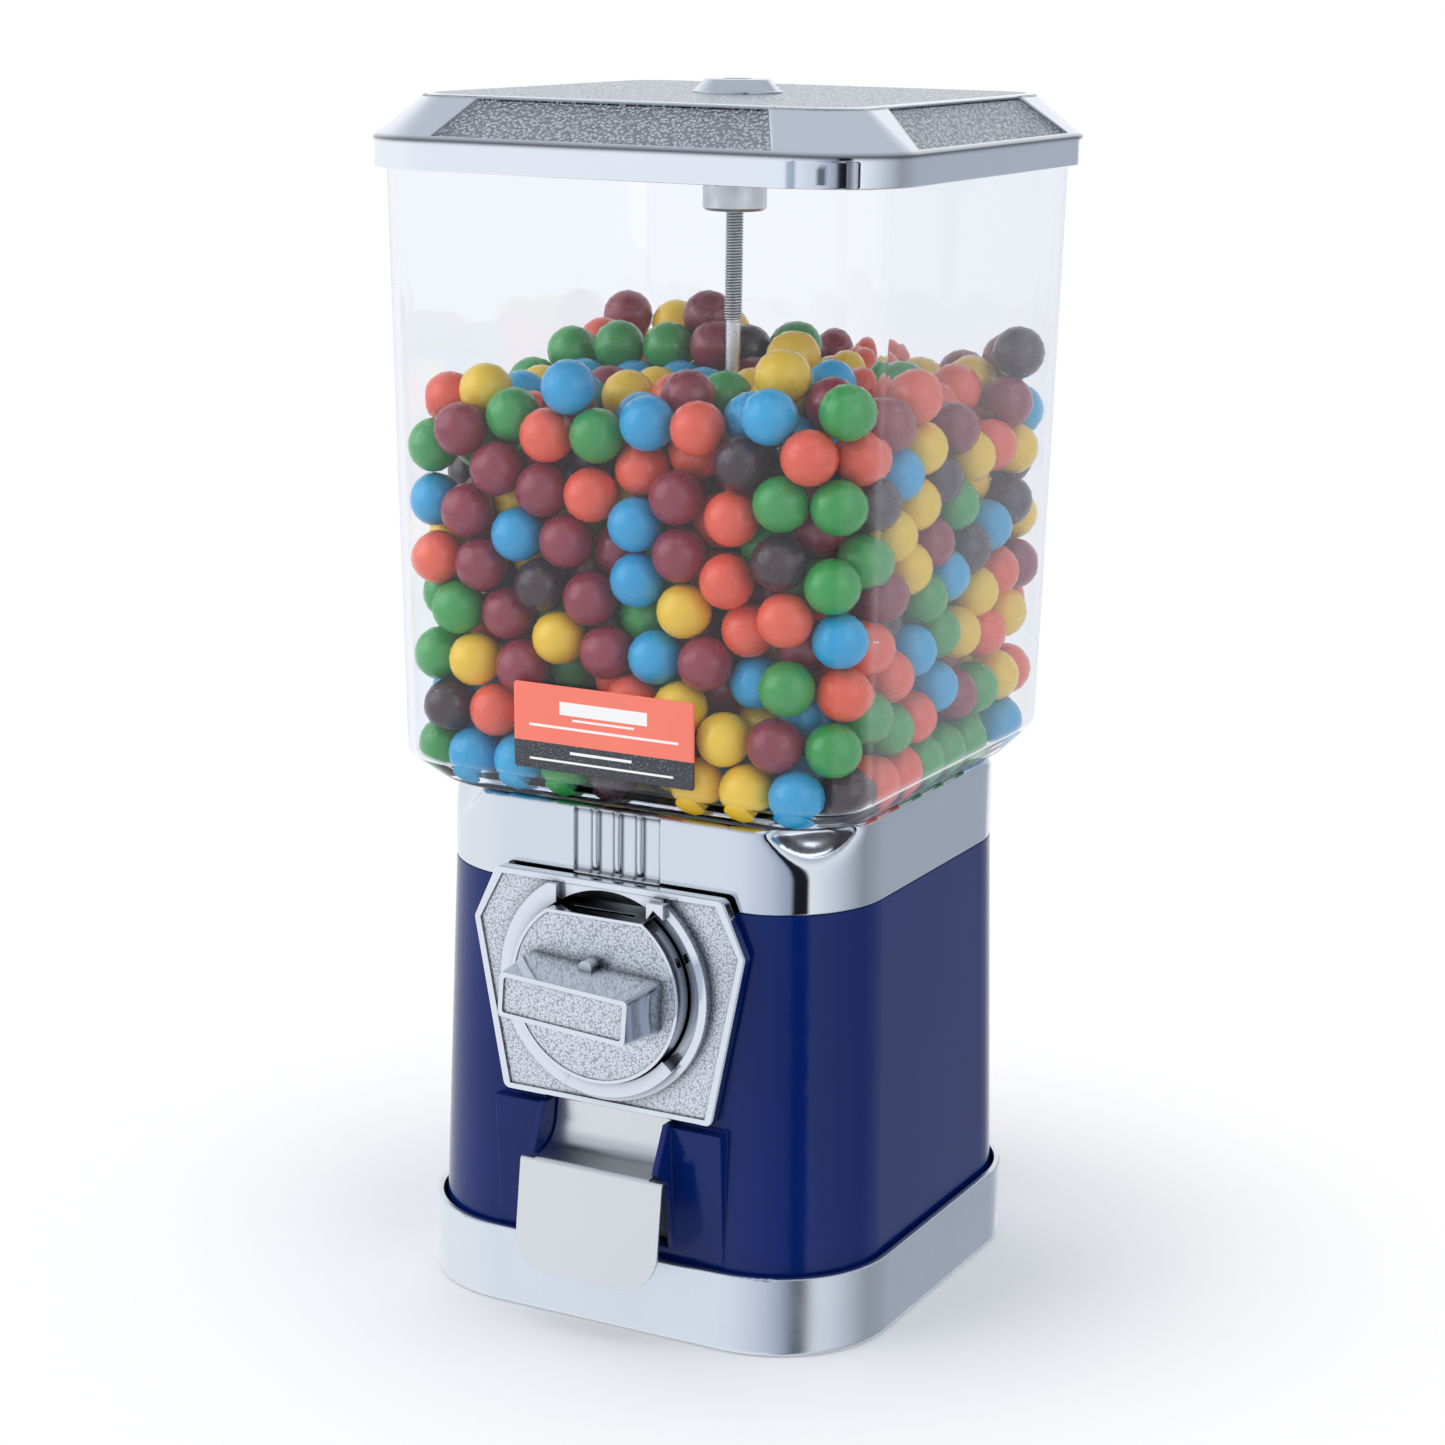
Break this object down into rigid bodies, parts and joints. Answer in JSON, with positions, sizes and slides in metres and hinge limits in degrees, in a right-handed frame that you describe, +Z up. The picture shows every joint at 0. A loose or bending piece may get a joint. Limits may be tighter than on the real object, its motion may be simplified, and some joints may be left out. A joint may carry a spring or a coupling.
{
  "type": "gumball machine",
  "caption": "Countertop gumball machine with a clear square hopper, lift-off locked lid, coin dial with handle bar, pocket wheel, chute and hinged flap.",
  "frame": {"origin": "on the clamping rod's axis at the underside of the base pad", "axes": "+Z up along the rod, -Y towards the coin dial and flap, +X to the right seen from the front"},
  "size_m": [0.2, 0.2195, 0.43],
  "materials": {
    "blue_plastic": "high gloss royal blue moulding",
    "collar_chrome": "bright plated plastic",
    "tray_chrome": "satin plated plastic",
    "lid_chrome": "bright plating, panels and top plate grained",
    "clear_plastic": "clear polycarbonate",
    "zinc_chrome": "plated zinc casting, leather-grain fields inside plain borders",
    "cast_aluminium": "as cast",
    "zinc_steel": "zinc plated steel",
    "stainless": "fine satin sheet",
    "grey_plastic": "moulded acetal",
    "black_foam": "foam rubber",
    "label": null,
    "brass": "turned",
    "bristle": "nylon bristle"
  },
  "bodies": {
    "root": {"base_pad": "black_foam", "base_tray": "tray_chrome", "body_shell": "blue_plastic", "collar": "collar_chrome", "wheel_deck": "grey_plastic", "deck_screws": "zinc_steel", "wheel_bush": "brass", "brush_cover": "grey_plastic", "ball_brush": "bristle", "center_rod": "zinc_steel", "rod_washer": "zinc_steel", "rod_nut": "zinc_steel", "hopper": "clear_plastic", "label_plate": "label", "face_plate": "zinc_chrome", "plate_gasket": "black_foam", "bezel_ring": "zinc_chrome", "mech_housing": "cast_aluminium", "pawl_spring": "zinc_steel", "mech_bracket": "zinc_steel", "mech_screws": "zinc_steel", "ball_chute": "grey_plastic", "flap_pin": "zinc_steel"},
    "dial": {"dial_knob": "zinc_chrome", "dial_shaft": "zinc_steel", "ratchet_wheel": "zinc_steel", "drive_gear": "cast_aluminium", "shaft_nut": "zinc_steel"},
    "wheel": {"ball_wheel": "grey_plastic", "wheel_stirrer": "grey_plastic"},
    "flap": {"flap": "stainless"},
    "lid": {"lid_shell": "lid_chrome", "lock_cap": "lid_chrome", "rod_socket": "cast_aluminium"},
    "plug": {"lock_plug": "zinc_steel"},
    "pawl": {"ratchet_pawl": "zinc_steel"}
  },
  "joints": [
    {"name": "handle_turn", "type": "hinge", "parent": "root", "child": "dial", "pos_m": [0, -0.09, 0.126], "axis": [0, 1, 0], "continuous": true},
    {"name": "wheel_turn", "type": "hinge", "parent": "root", "child": "wheel", "pos_m": [0, 0, 0.148], "axis": [0, 0, 1], "continuous": true},
    {"name": "flap_lift", "type": "hinge", "parent": "root", "child": "flap", "pos_m": [0, -0.0805, 0.081], "axis": [-1, 0, 0], "range_deg": [0, 55]},
    {"name": "lid_lift", "type": "slide", "parent": "root", "child": "lid", "axis": [0, 0, 1], "range_m": [0, 0.06]},
    {"name": "lock_turn", "type": "hinge", "parent": "lid", "child": "plug", "pos_m": [0, 0, 0.427], "axis": [0, 0, 1], "range_deg": [0, 90]},
    {"name": "pawl_tilt", "type": "hinge", "parent": "root", "child": "pawl", "pos_m": [-0.027, -0.075, 0.134], "axis": [0, 1, 0], "range_deg": [-12, 0], "stiffness_Nm_per_rad": 0.002, "springref_deg": 11.46}
  ],
  "couplings": [
    {"joint": "wheel_turn", "follows": "handle_turn", "ratio": 0.16667}
  ]
}
